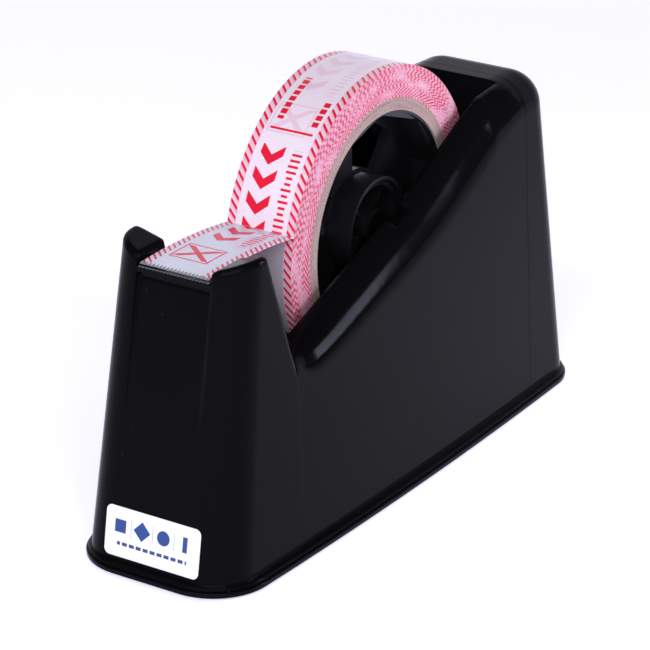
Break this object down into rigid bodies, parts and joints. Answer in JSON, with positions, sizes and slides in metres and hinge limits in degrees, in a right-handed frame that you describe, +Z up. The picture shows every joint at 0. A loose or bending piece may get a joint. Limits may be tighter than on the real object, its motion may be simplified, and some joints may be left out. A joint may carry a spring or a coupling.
{
  "type": "bench tape dispenser",
  "caption": "Weighted bench dispenser for wide tape: moulded body with an open roll well, serrated cutter between two horns, and a lift-out axle carrying a hub and tape roll.",
  "frame": {"origin": "centre of the footprint, on the surface the dispenser stands on", "axes": "+Z up, +Y towards the rear, -Y towards the cutter, X along the roll's axle"},
  "size_m": [0.0676, 0.219, 0.135],
  "materials": {
    "body_shell": "gloss",
    "base_plate": "gloss",
    "ballast_front": "matte",
    "ballast_rear": "matte",
    "ballast_pads": "matte",
    "base_screws": "satin",
    "rubber_feet": "matte",
    "tape_platform": "satin",
    "cutter_blade": "satin",
    "blade_screws": "satin",
    "front_label": "satin",
    "axle_pin": "satin",
    "axle_bush_left": "satin",
    "axle_bush_right": "satin",
    "spacer_left": "satin",
    "spacer_right": "satin",
    "felt_washers": "matte",
    "small_core_spool": "gloss",
    "large_core_hub": "gloss",
    "tape_core": "matte",
    "tape_roll": "gloss",
    "tape_strip": "gloss"
  },
  "bodies": {
    "housing": {"body_shell": "body_shell", "base_plate": "base_plate", "ballast_front": "ballast_front", "ballast_rear": "ballast_rear", "ballast_pads": "ballast_pads", "base_screws": "base_screws", "rubber_feet": "rubber_feet", "tape_platform": "tape_platform", "cutter_blade": "cutter_blade", "blade_screws": "blade_screws", "front_label": "front_label"},
    "axle_carrier": {"axle_pin": "axle_pin", "axle_bush_left": "axle_bush_left", "axle_bush_right": "axle_bush_right", "spacer_left": "spacer_left", "spacer_right": "spacer_right", "felt_washers": "felt_washers", "tape_strip": "tape_strip"},
    "roll": {"small_core_spool": "small_core_spool", "large_core_hub": "large_core_hub", "tape_core": "tape_core", "tape_roll": "tape_roll"}
  },
  "joints": [
    {"name": "roll_lift", "type": "slide", "parent": "housing", "child": "axle_carrier", "axis": [0, 0, 1], "range_m": [0, 0.11]},
    {"name": "roll_spin", "type": "hinge", "parent": "axle_carrier", "child": "roll", "pos_m": [0, 0.00505, 0.08226], "axis": [1, 0, 0], "continuous": true}
  ]
}
